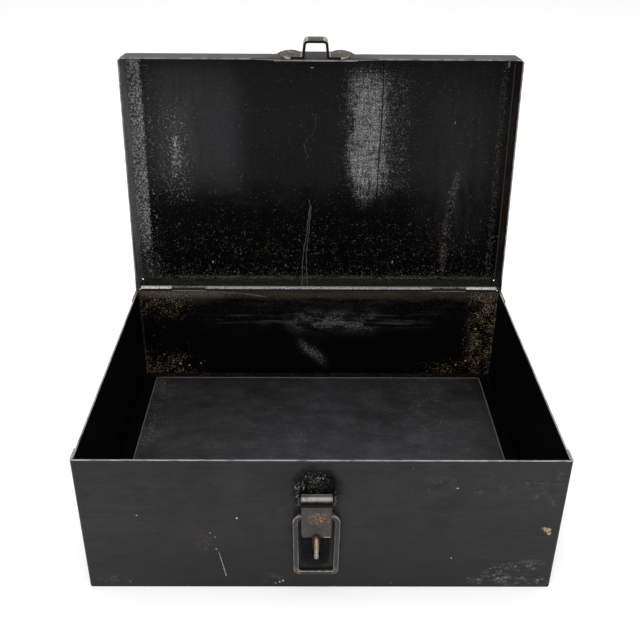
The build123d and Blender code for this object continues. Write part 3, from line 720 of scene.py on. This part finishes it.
def lidPaint(values):
    finish = Finish("lidPaint", paint["gloss"])
    x, z, place = finish.x, finish.z, finish.place
    colour, rough, height = outsidePaint(finish)
    cloud, fine = finish.cloud, finish.fine
    along, depth = onLid(finish, values)
    # the free edges of the skirts: worn metal with a painted highlight, broken up by the shine grain
    edge = between(depth, values["edge"] + 0.12, values["edge"] + 0.04)
    hingeEdge = between(along, 3.6, 2.8) * between(depth, 2.9, 2.5) * between(abs(x), 173.2, 172.6)
    outer = between(abs(x), 141.0, 142.0)
    shine = between(grain(place, 0.12, 4.0, 0.7), 0.36, 0.6)
    # painted sheen on the front skirt, in streaks of the shine grain
    front = between(along, values["frontSkirt"] - 0.4, values["frontSkirt"] - 0.2)
    edge = edge * between(along, 6.0, 14.0)
    rubs = between(abs(x), 175.8, 176.5).most(between(along, -1.6, -2.2)).most(between(along, 222.7, 223.3))
    rubs = rubs * between(depth, 22.4, 23.0) * between(fine, 0.46, 0.6) * between(cloud, 0.4, 0.6)
    # painted highlights along the upper and lower sides of the knuckles; on the outer knuckles the upper one
    # is stronger and the lower one fainter
    upperHighlight = between(z, 131.7, 132.2) * (0.5 + outer * 0.45) * between(fine, 0.34, 0.52)
    lowerHighlight = between(z, 130.2, 129.8) * (0.55 - outer * 0.35) * between(fine, 0.4, 0.56)
    colour = layers(
        colour,
        (front * shine * 0.4, (0.05, 0.048, 0.044)),
        (rubs * 0.7, (0.22, 0.21, 0.195)),
        (edge * (shine * 0.6 + 0.3), (0.3, 0.29, 0.27)),
        (hingeEdge * 0.8, (0.011, 0.0085, 0.008)),
        (hingeEdge * upperHighlight.most(lowerHighlight), (0.56, 0.55, 0.53)),
    )
    finish.fill(finish.shader, colour, rough, edge * 0.3 + hingeEdge * 0.3, height, 0.1)

    # inside: dust, scuffs and runs on black
    speck = grain(place, 0.62, 4.0, 0.78)
    small = grain(place, 0.95, 3.0, 0.72)
    tall = grain(place, (0.14, 0.14, 0.03), 5.0, 0.7)
    patches = grain(place, 0.05, 4.0, 0.65)
    upper = between(along + (patches - 0.5) * 55.0, 66.0, 118.0)
    shift = (patches - 0.5) * 16.0
    strong = region(x + shift, along + shift * 1.5, values["scuff"], 10.0, 20.0)
    wide = region(x + shift, along + shift * 1.5, values["wideScuff"], 16.0, 24.0)
    tail = region(x, along, values["tail"], 7.0, 12.0)
    # a close weave of up-and-down and crosswise strokes
    hatch = grain(place, (0.75, 0.75, 0.05), 3.0, 0.7) * 0.5
    hatch = hatch + grain(place, (0.06, 0.06, 0.7), 3.0, 0.7) * 0.5
    heavy = (strong * 0.5 + wide * 0.58 + tail * 0.22) * between(tall, 0.2, 0.46)
    heavy = heavy * (between(hatch, 0.34, 0.64) * 0.34 + 0.7)
    veil = rubbed(heavy, patches * 0.3 + tall * 0.3 + hatch * 0.4, speck, 0.8)
    grit = dusting(heavy * 1.05, small, 0.1)
    # painted shade: a near-black line along the fold in the inner face
    fold = lineMask(x, along, values["fold"], 0.9, (fine - 0.5) * 0.8)
    slope = slantMask(x, along, values["slant"])
    slope = slope * between(along, 142.0, 104.0) * between(patches, 0.3, 0.5)
    slantVeil = rubbed(slope * 0.72, tall, speck, 0.7)
    slantGrit = dusting(slope * 0.72, speck, 0.06)
    strip = between(x + shift * 0.3, values["leftStrip"] + 3.0, values["leftStrip"] - 3.5)
    strip = strip * (between(along, 4.0, 60.0) * 0.4 + 0.6)
    stripVeil = rubbed(strip * 0.95, patches * 0.5 + tall * 0.5, speck, 0.7)
    stripGrit = dusting((strip * 1.05).most(window(x, -163.0, -152.0, 6.0) * 0.6), speck, 0.08)
    cluster = region(x, along, values["flecks"], 9.0, 28.0)
    loose = region(x, along, values["looseFlecks"], 16.0, 24.0)
    flecks = dusting((cluster * 1.05).most(loose * 0.7), speck, 0.05)
    blue = region(x, along, values["bluePatch"], 18.0, 30.0)
    streaks = between(tall, 0.26, 0.62)
    leftHaze = region(x, along, values["leftHaze"], 24.0, 26.0) * (streaks * 0.4 + 0.6)
    rightHaze = region(x, along, values["rightHaze"], 30.0, 40.0) * streaks
    lower = between(along, 108.0, 40.0)
    crumbs = dusting((lower * 0.44).most(0.2), grain(place, 0.72, 2.0, 0.8), 0.05)
    crumbs = crumbs * between(grain(place, 0.2, 2.0), 0.4, 0.6)
    rightSpecks = dusting(window(x, 164.0, 172.0, 3.0) * 0.66, small, 0.05)
    foot = between(along, 5.0, 1.5) * between(grain(place, (0.1, 0.3, 0.3), 4.0, 0.7), 0.34, 0.6)
    foot = foot.most(between(x, -150.0, -172.0) * between(along, 26.0, 2.0) * between(speck, 0.34, 0.56))
    footGrit = dusting(between(along, 22.0, 0.0) * 0.62, speck, 0.06)
    wander = (grain(place, 0.12, 3.0, 0.6) - 0.5) * 4.0
    runs = lineMask(x, along, values["runs"][0], 0.5, wander)
    runs = runs.most(lineMask(x, along, values["runs"][1], 0.42, wander * 0.8))
    crack = lineMask(x, along, values["crack"], 0.5, wander * 1.4) * between(small, 0.42, 0.58)
    marks = chipMask(x, along, speck, values["marks"])
    leftSkirt = between(x, -175.2, -175.5) * between(tall * 0.6 + speck * 0.5, 0.46, 0.68)
    rightSkirt = between(x, 175.2, 175.5)
    rightFold = rightSkirt * window(depth, 19.0, 21.5, 1.0) * between(fine, 0.34, 0.55)
    rightBrown = rightSkirt * window(depth, 3.0, 16.0, 4.0) * between(tall + patches * 0.3, 0.52, 0.75)
    frontBand = between(along, 218.0, 221.5) * between(tall, 0.4, 0.6)
    flange = between(along, 0.3, -0.2)
    flangeDust = between(depth, 12.0, 3.0) * 0.5 + between(abs(x), 120.0, 168.0) * 0.35
    flangeDust = dusting(flange * flangeDust, small, 0.08)
    slantTone = blend(between(along, 90.0, 30.0), (0.26, 0.255, 0.245), (0.28, 0.2, 0.1))
    crumbTone = blend(between(patches, 0.5, 0.62), (0.28, 0.28, 0.27), (0.25, 0.2, 0.13))
    dark = layers(
        blend(upper * (0.55 + cloud * 0.6), (0.0006, 0.0006, 0.0007), (0.0122, 0.0123, 0.0131)),
        (leftHaze * 0.75, (0.044, 0.0445, 0.047)),
        (rightHaze * 0.4, (0.03, 0.03, 0.031)),
        (blue * upper * 0.7, (0.04, 0.041, 0.044)),
        (veil * 0.56, grey(0.185)),
        (grit * 0.7, (0.46, 0.46, 0.455)),
        (slantVeil * 0.42, (0.085, 0.083, 0.078)),
        (slantGrit * 0.55, slantTone),
        (stripVeil * 0.5, (0.17, 0.17, 0.168)),
        (stripGrit * 0.75, (0.5, 0.5, 0.49)),
        (flecks * 0.62, (0.36, 0.35, 0.33)),
        (crumbs * 0.65, crumbTone),
        (rightSpecks * 0.6, (0.28, 0.24, 0.17)),
        (foot * 0.35, (0.13, 0.125, 0.115)),
        (footGrit * 0.8, (0.44, 0.43, 0.39)),
        (flange * 0.75, (0.005, 0.0048, 0.0045)),
        (flangeDust * 0.85, (0.46, 0.45, 0.42)),
        (runs * 0.45, (0.19, 0.19, 0.185)),
        (crack * 0.4, (0.17, 0.165, 0.16)),
        (marks * 0.85, (0.36, 0.35, 0.33)),
        (fold * 0.85, grey(0.0015)),
        (leftSkirt * 0.75, (0.26, 0.26, 0.255)),
        (rightBrown * 0.55, (0.06, 0.038, 0.02)),
        (rightFold * 0.6, (0.24, 0.22, 0.19)),
        (frontBand * 0.5, (0.05, 0.048, 0.045)),
    )
    inside = between(depth, values["innerFace"] + 0.5, values["innerFace"] + 0.3)
    inside = inside * between(along, values["frontSkirt"] - 0.5, values["frontSkirt"] - 0.8)
    inside = inside * between(abs(x), values["halfWidth"] - 0.3, values["halfWidth"] - 0.5) * (1 - edge)
    inside = inside * between(along, -1.9, -1.6) * (1 - hingeEdge)
    inner = finish.coat(paint["innerGloss"], inside)
    dustRough = 0.4 + cloud * 0.15 + veil * 0.2
    finish.fill(inner, dark, dustRough, 0.0, cloud + speck * 0.25, 0.08)
    return finish.material


lidMaterial = lidPaint(lidFinish)
dress("lid_shell", lidMaterial)
print("paint on the sheet metal")

# painted strips that close the two corners beside the hinge, in millimetres on the lid
# hair is in metres
cornerStrip = {
    "radius": 2.2,
    "wall": 1.2,
    "middle": (174.6, -0.31),
    "reach": (-2.3, 21.2),
    "points": 32,
    "smoothAngle": 40.0,
    "hair": 0.00001,
}


def closeCorner(values, name, side):
    hair = values["hair"]
    inner = 1.0 - values["wall"] / values["radius"]
    bpy.ops.object.select_all(action="DESELECT")
    bpy.ops.mesh.primitive_circle_add(
        vertices=values["points"], radius=values["radius"] / perMetre, fill_type="NOTHING"
    )
    piece = bpy.context.object
    piece.name = name
    places = [vertex.co.copy() for vertex in piece.data.vertices]
    cutMesh(piece, [place.x * side < -hair or place.y > hair for place in places])
    bpy.ops.mesh.extrude_region_move(TRANSFORM_OT_translate={"value": (0, 0, 0)})
    bpy.ops.transform.resize(value=(inner, inner, 1.0), center_override=(0, 0, 0))
    bpy.ops.mesh.select_all(action="SELECT")
    length = (values["reach"][1] - values["reach"][0]) / perMetre
    thicken((0, 0, -length), values["smoothAngle"])
    # the circle's own axes become the lid's: across, along and out of its depth
    lean = math.radians(lidFinish["lean"])
    hingeY, hingeZ = lidFinish["hinge"]
    middleX, along = values["middle"]
    depth = values["reach"][0]
    piece.rotation_euler.x = math.pi - lean
    piece.location = (
        side * middleX / perMetre,
        (hingeY - along * math.cos(lean) + depth * math.sin(lean)) / perMetre,
        (hingeZ + along * math.sin(lean) + depth * math.cos(lean)) / perMetre,
    )
    bpy.ops.object.transform_apply(location=True, rotation=True, scale=True)
    piece.data.materials.append(lidMaterial)
    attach(piece, "lid")


closeCorner(cornerStrip, "lidCornerLeft", -1)
closeCorner(cornerStrip, "lidCornerRight", 1)
print("corners of the lid closed")

# merge is in metres
steel = {
    "flatAngle": 1.5,
    "bevelAngle": 34.0,
    "smoothAngle": 38.0,
    "edgeWidth": 0.85,
    "merge": 0.000002,
    "scratch": (0.3, 0.28, 0.26),
    "relief": 0.22,
}


def steelFinish(name, dark, light, stain, metallic, roughness, scale=0.3, features=None, gloss=0.5):
    finish = Finish(name, gloss)
    place = finish.place
    cloud = grain(place, scale, 5.0, 0.7)
    fine = grain(place, scale * 6.0, 3.0, 0.7)
    scratches = between(grain(place, (0.25, 1.0, 2.2), 3.0, 0.7), 0.6, 0.7)
    stains = between(grain(place, scale * 1.6, 4.0, 0.75), 0.5, 0.68)
    colour = layers(
        blend(between(cloud * 0.7 + fine * 0.3, 0.38, 0.64), dark, light),
        (stains * 0.75, stain),
        (scratches * 0.25, steel["scratch"]),
    )
    if features is not None:
        colour = features(finish, colour, cloud, fine)
    rough = roughness + fine * 0.22 + scratches * 0.08
    finish.fill(finish.shader, colour, rough, metallic, cloud * 0.6 + fine * 0.4, steel["relief"])
    return finish.material


lever = {
    "lip": 61.5,
    "middle": -3.5,
    "halfWidth": 11.2,
    # z of the painted highlight on the roll, then of the painted shade under it
    "roll": (98.9, 100.3),
    "paintedShade": (91.0, 98.9),
    "back": (100.9, 101.1),
    "rubbed": (-8.3, 4.9, 75.5, 84.5),
}


def leverWear(finish, colour, cloud, fine):
    # grey above the lip, the tongue below it reddish black, a painted highlight on the roll and along the
    # lip, painted shade under the roll, a rubbed brown patch on the plate
    x, z, place = finish.x, finish.z, finish.place
    patch = region(x, z, lever["rubbed"], 2.6, 2.4)
    cream = patch * between(grain(place, 0.42, 2.0, 0.6), 0.5, 0.66)
    patch = patch * between(grain(place, 0.3, 3.0, 0.75), 0.34, 0.56)
    # the tongue below the lip reddish black
    darkTongue = between(z + (cloud - 0.5) * 6.0, lever["lip"] + 1.0, lever["lip"] - 1.5)
    sides = between(abs(x - lever["middle"]), lever["halfWidth"] - 1.6, lever["halfWidth"] - 0.3)
    # painted shade in a dark band over the roll's underside and the top of the plate below it
    paintedShade = window(z + (cloud - 0.5) * 1.2, *lever["paintedShade"], 0.7)
    red = between(grain(place, 0.22, 3.0, 0.7), 0.5, 0.62)
    soiled = between(grain(place, 0.16, 4.0, 0.7), 0.48, 0.64) * between(x, 2.0, -8.0)
    spots = between(grain(place, 0.55, 3.0, 0.75), 0.56, 0.66)
    # painted highlight along the lip's edge
    lipLine = window(z, lever["lip"] - 0.5, lever["lip"] + 0.5, 0.3) * between(x, 1.0, 3.0)
    shadeAndTongueCoat = finish.coat(0.045, (darkTongue * (1 - lipLine)).most(paintedShade))
    reddishBlack = blend(red, (0.0012, 0.001, 0.001), (0.007, 0.0036, 0.0028))
    finish.fill(shadeAndTongueCoat, reddishBlack, 0.5, 0.0, cloud, 0.25)
    # a painted highlight in the band over the roll
    return layers(
        colour,
        (between(z, *lever["roll"]) * 0.75, (0.38, 0.365, 0.36)),
        (between(z, *lever["back"]) * 0.7, (0.06, 0.036, 0.028)),
        (soiled.most(spots) * 0.6, (0.016, 0.012, 0.009)),
        (sides * between(fine, 0.4, 0.56) * 0.6, (0.1, 0.06, 0.035)),
        (patch * 0.85, (0.085, 0.042, 0.022)),
        (cream * 0.75, (0.36, 0.25, 0.145)),
        (lipLine * 0.8, (0.52, 0.5, 0.46)),
    )


staple = {"rubbed": 53.0, "middle": -3.5, "core": 1.1}


def stapleWear(finish, colour, cloud, fine):
    # brown towards its top, dark brown and painted shade down both sides, bright flecks between them as a
    # painted highlight
    top = between(finish.z + (cloud - 0.5) * 6.0, staple["rubbed"], staple["rubbed"] + 5.0)
    off = abs(finish.x - staple["middle"] + (cloud - 0.5) * 0.8)
    # painted shade down both sides
    sides = between(off, staple["core"], staple["core"] + 0.5)
    return layers(
        colour,
        (top * 0.75, (0.34, 0.185, 0.06)),
        (between(fine, 0.54, 0.64) * 0.45, (0.66, 0.62, 0.55)),
        (sides * 0.65, (0.07, 0.042, 0.024)),
    )


def baseDirt(finish, colour, cloud, fine):
    # black dirt over the top plate, as thick as on the wall around it
    dirt = between(finish.z + (cloud - 0.5) * 8.0, 95.0, 99.0)
    dull = finish.coat(0.06, dirt)
    # grey specks in the dirt, partly painted glints like those on the crust
    specksAndGlints = dusting(between(cloud, 0.42, 0.62) * 0.75, grain(finish.place, 1.3, 3.0, 0.7))
    grimeAndPaintedLight = blend(specksAndGlints * 0.5, (0.003, 0.0028, 0.0027), (0.15, 0.14, 0.11))
    finish.fill(dull, grimeAndPaintedLight, 0.7, 0.0, fine, 0.4)
    return colour


linkRing = {"foot": 26.0, "brownCorner": (10.0, 14.0), "middle": -3.5}


def linkWear(finish, colour, cloud, fine):
    # brown in the two lower corners
    inner, outer = linkRing["brownCorner"]
    low = between(finish.z, linkRing["foot"], linkRing["foot"] - 3.0)
    corner = between(abs(finish.x - linkRing["middle"]), inner, outer)
    return blend(low * corner * between(fine, 0.4, 0.6) * 0.8, colour, (0.21, 0.125, 0.06))


keeperPlate = {"centre": (224.17, 6.69), "lean": 12.0, "halfDepth": 9.0}


def keeperWear(finish, colour, cloud, fine):
    # painted shade on the plates' thick edges towards the free side of the skirt, brown streaks above them
    tilt = math.radians(keeperPlate["lean"])
    along, depth = onLid(finish, lidFinish)
    along = along - keeperPlate["centre"][0]
    depth = depth - keeperPlate["centre"][1]
    inward = depth * math.cos(tilt) + along * math.sin(tilt) + keeperPlate["halfDepth"]
    # painted shade: the thick edges under a dark dull coat
    edge = between(inward, 0.32, 0.16)
    streaks = grain(finish.place, (0.9, 0.25, 0.25), 3.0, 0.7)
    dark = finish.coat(0.08, edge)
    finish.fill(dark, blend(fine, (0.004, 0.0032, 0.0028), (0.016, 0.011, 0.008)), 0.5, 0.0, cloud, 0.2)
    return blend(between(streaks, 0.48, 0.64) * 0.6, colour, (0.03, 0.019, 0.013))


# colours of dark, light and stained steel, metallic, roughness, size of grain, wear, gloss
steelKinds = {
    "keeperSteel": (
        (0.018, 0.015, 0.012), (0.085, 0.076, 0.066), (0.034, 0.022, 0.015), 0.3, 0.38, 0.3, keeperWear, 0.4
    ),
    "keeperEdge": ((0.2, 0.185, 0.165), (0.46, 0.43, 0.4), (0.12, 0.09, 0.06), 0.6, 0.3),
    "baseSteel": (
        (0.01, 0.009, 0.0085), (0.045, 0.042, 0.038), (0.018, 0.013, 0.01), 0.2, 0.45, 0.3, baseDirt
    ),
    "baseEdge": ((0.06, 0.055, 0.05), (0.22, 0.2, 0.18), (0.07, 0.045, 0.03), 0.5, 0.36, 0.3, baseDirt),
    "leverSteel": (
        (0.024, 0.022, 0.02), (0.058, 0.055, 0.052), (0.036, 0.026, 0.019), 0.3, 0.36, 0.3, leverWear, 0.36
    ),
    "leverEdge": ((0.07, 0.055, 0.045), (0.2, 0.175, 0.155), (0.09, 0.055, 0.035), 0.5, 0.34, 0.5),
    "stapleSteel": ((0.2, 0.175, 0.15), (0.52, 0.49, 0.45), (0.2, 0.13, 0.075), 0.7, 0.28, 0.5, stapleWear),
    "stapleEdge": ((0.07, 0.05, 0.034), (0.26, 0.22, 0.17), (0.12, 0.07, 0.035), 0.5, 0.34),
    "linkSteel": (
        (0.006, 0.006, 0.006), (0.026, 0.025, 0.024), (0.014, 0.011, 0.009), 0.2, 0.42, 0.3, linkWear
    ),
    "linkEdge": ((0.16, 0.15, 0.14), (0.46, 0.44, 0.41), (0.16, 0.12, 0.08), 0.5, 0.32, 0.35),
    "pinSteel": ((0.045, 0.042, 0.038), (0.15, 0.14, 0.13), (0.06, 0.04, 0.025), 0.5, 0.38),
}
metals = {kind: steelFinish(kind, *values) for kind, values in steelKinds.items()}


def wornCopy(name, body, slot, bevelWidth, face, edge, chamfered):
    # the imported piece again, its sharp edges rounded over and rubbed brighter than its faces
    bpy.ops.object.select_all(action="DESELECT")
    nodes[name].select_set(True)
    bpy.context.view_layer.objects.active = nodes[name]
    bpy.ops.object.duplicate()
    piece = bpy.context.object
    piece.name = name + "Worn"
    bpy.ops.object.parent_clear(type="CLEAR_KEEP_TRANSFORM")
    bpy.ops.object.transform_apply(location=True, rotation=True, scale=True)
    bpy.ops.object.mode_set(mode="EDIT")
    bpy.ops.mesh.select_all(action="SELECT")
    bpy.ops.mesh.remove_doubles(threshold=steel["merge"])
    bpy.ops.mesh.dissolve_limited(angle_limit=math.radians(steel["flatAngle"]))
    bpy.ops.object.mode_set(mode="OBJECT")
    piece.data.materials.clear()
    piece.data.materials.append(metals[face])
    piece.data.materials.append(metals[edge])
    for polygon in piece.data.polygons:
        corners = [piece.data.vertices[index].co for index in polygon.vertices]
        longest = max((first - second).length for first, second in zip(corners, corners[1:] + corners[:1]))
        narrow = polygon.area < steel["edgeWidth"] / perMetre * longest
        polygon.material_index = 1 if narrow and chamfered else 0
    bevel = piece.modifiers.new("rubbedEdges", "BEVEL")
    bevel.width = bevelWidth / perMetre
    bevel.segments = 2
    bevel.limit_method = "ANGLE"
    bevel.angle_limit = math.radians(steel["bevelAngle"])
    bevel.material = 1
    bpy.ops.object.modifier_apply(modifier="rubbedEdges")
    bpy.ops.object.shade_smooth_by_angle(angle=math.radians(steel["smoothAngle"]))
    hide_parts(name)
    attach(piece, body)


# node, body, slot, width of the rounded edge, face, edge, whether its chamfers are rubbed too
wornPieces = (
    ("lever", "lever", "worn_steel", 0.3, "leverSteel", "leverEdge", False),
    ("link", "link", "link_steel", 0.2, "linkSteel", "linkEdge", True),
    ("keeper", "lid", "worn_steel", 0.25, "keeperSteel", "keeperEdge", True),
    ("keeper_rivet_left", "lid", "worn_steel", 0.15, "keeperSteel", "keeperEdge", False),
    ("keeper_rivet_right", "lid", "worn_steel", 0.15, "keeperSteel", "keeperEdge", False),
    ("catch_base", "box", "worn_steel", 0.25, "baseSteel", "baseEdge", False),
    ("padlock_staple", "box", "staple_steel", 0.35, "stapleSteel", "stapleEdge", False),
)
for row in wornPieces:
    wornCopy(*row)
for nodeName in ("hinge_pin", "lever_pin"):
    dress(nodeName, metals["pinSteel"])
for nodeName in ("catch_rivet_left", "catch_rivet_right", "catch_rivet_lower"):
    dress(nodeName, metals["baseSteel"])
print("worn steel of the keeper and catch")

crust = {
    "wall": -126.548,
    "middle": (-3.4, 106.5),
    "grid": (150, 170),
    "patch": (36.0, 42.0),
    # scales of the noise and the slice of it that is used
    "lump": (0.42, 3.1),
    "ragged": (0.3, 9.7),
    "crumb": (0.8, 5.3),
    "lowest": -0.5,
    "sunk": 0.15,
    "buried": -0.1,
    "trim": -0.06,
    "thickness": 0.3,
    "smoothAngle": 50.0,
    "gloss": 0.3,
    # blobs of the crust: (x, z, half width, half height, thickness)
    "blobs": (
        (-4.4, 107.6, 12.2, 9.6, 3.6), (-12.5, 105.5, 6.0, 8.0, 2.6), (-17.0, 98.0, 2.8, 12.5, 1.7),
        (-19.4, 103.0, 2.0, 6.0, 1.2), (6.6, 98.6, 4.6, 3.6, 2.2), (9.6, 90.0, 1.9, 8.0, 1.4),
    ),
}


def crustHeight(values, x, z):
    lump, ragged, crumb = (
        Vector((x * scale, z * scale, cut))
        for scale, cut in (values["lump"], values["ragged"], values["crumb"])
    )
    lump = noise.noise(lump)
    ragged = noise.turbulence(ragged, 4, False)
    crumb = 0.42 - noise.voronoi(crumb)[0][0]
    height = values["lowest"]
    for blobX, blobZ, wide, high, thick in values["blobs"]:
        reach = 1.0 - math.hypot((x - blobX) / wide, (z - blobZ) / high)
        reach = reach + lump * 0.3 + (ragged - 0.45) * 0.35 + crumb * 0.9
        height = max(height, thick * min(reach * 2.4, 0.55 + lump * 0.4 + crumb * 0.75))
    return height - values["sunk"]


def growCrust(values):
    # old paint and dirt lifted in a lumpy crust above the catch
    across, upward = values["grid"]
    wide, high = values["patch"]
    bpy.ops.object.select_all(action="DESELECT")
    bpy.ops.mesh.primitive_grid_add(x_subdivisions=across, y_subdivisions=upward, size=2.0)
    piece = bpy.context.object
    piece.name = "catchCrust"
    heights = []
    for vertex in piece.data.vertices:
        x = values["middle"][0] + vertex.co.x * wide / 2
        z = values["middle"][1] + vertex.co.y * high / 2
        height = crustHeight(values, x, z)
        heights.append(height)
        y = values["wall"] - max(height, values["buried"])
        vertex.co = (x / perMetre, y / perMetre, z / perMetre)
    cutMesh(piece, [height < values["trim"] for height in heights])
    thicken((0, values["thickness"] / perMetre, 0), values["smoothAngle"])
    finish = Finish("crustFinish", values["gloss"])
    place = finish.place
    lumps = grain(place, 0.5, 4.0, 0.75)
    outer = between(abs(finish.x + 4.4), 5.0, 12.0).most(between(finish.z, 108.0, 113.0))
    # grey specks and painted glints on the crumbs, more of them towards the crust's outer parts
    specksAndGlints = dusting(between(lumps, 0.38, 0.56) * (0.72 + outer * 0.5), grain(place, 0.8, 3.0, 0.75), 0.07)
    colour = blend(lumps, (0.0018, 0.0017, 0.0016), (0.011, 0.01, 0.009))
    colour = blend(specksAndGlints * 0.85, colour, (0.33, 0.32, 0.28))
    finish.fill(finish.shader, colour, 0.55 + lumps * 0.3, 0.0, grain(place, 2.2, 3.0, 0.7), 0.5)
    piece.data.materials.append(finish.material)
    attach(piece, "box")


growCrust(crust)
print("crust over the catch")

# sizes and places in metres
studio = {
    "floorSize": 14.0,
    "floorColour": (0.86, 0.86, 0.86),
    "floorRoughness": 0.9,
    "floorGlow": 0.32,
    "worldLight": 0.62,
    "lamps": (
        # name, place, aim, size, watts
        ("topSoftbox", (0.0, -0.2, 2.1), (0.0, 0.0, 0.1), 1.9, 26.0),
        ("frontSoftbox", (-0.9, -2.0, 1.2), (0.0, 0.0, 0.12), 1.4, 9.0),
    ),
}


def seenRays(start):
    # camera, mirror and glass rays, which see the plain white surroundings
    kinds = ("Is Camera Ray", "Is Glossy Ray", "Is Transmission Ray")
    return highest([start.node("ShaderNodeLightPath", None, None, kind) for kind in kinds])


def whiteFloor(values):
    bpy.ops.object.select_all(action="DESELECT")
    bpy.ops.mesh.primitive_plane_add(size=values["floorSize"], location=(0, 0, 0))
    floor = bpy.context.object
    floor.name = "studioFloor"
    material = bpy.data.materials.new("floorFinish")
    material.use_nodes = True
    tree = material.node_tree
    shader = tree.nodes["Principled BSDF"]
    shader.inputs["Base Color"].default_value = (*values["floorColour"], 1.0)
    shader.inputs["Roughness"].default_value = values["floorRoughness"]
    start = Wire(tree)
    strength = seenRays(start) * values["floorGlow"]
    glow = start.node("ShaderNodeEmission", None, {"Color": (1.0, 1.0, 1.0), "Strength": strength})
    added = start.node("ShaderNodeAddShader", None, {0: Wire(tree, shader.outputs["BSDF"]), 1: glow})
    tree.links.new(added.socket, tree.nodes["Material Output"].inputs["Surface"])
    floor.data.materials.append(material)


def lights(values):
    for name, place, aim, size, watts in values["lamps"]:
        data = bpy.data.lights.new(name, "AREA")
        data.shape = "SQUARE"
        data.size = size
        data.energy = watts
        lamp = bpy.data.objects.new(name, data)
        bpy.context.scene.collection.objects.link(lamp)
        lamp.location = place
        lamp.rotation_euler = (Vector(aim) - Vector(place)).to_track_quat("-Z", "Y").to_euler()
    world = bpy.data.worlds.new("surroundings")
    bpy.context.scene.world = world
    world.use_nodes = True
    tree = world.node_tree
    start = Wire(tree)
    strength = seenRays(start) * (1.0 - values["worldLight"]) + values["worldLight"]
    background = tree.nodes["Background"]
    background.inputs["Color"].default_value = (1.0, 1.0, 1.0, 1.0)
    tree.links.new(strength.socket, background.inputs["Strength"])


whiteFloor(studio)
lights(studio)
print("floor and lamps placed")
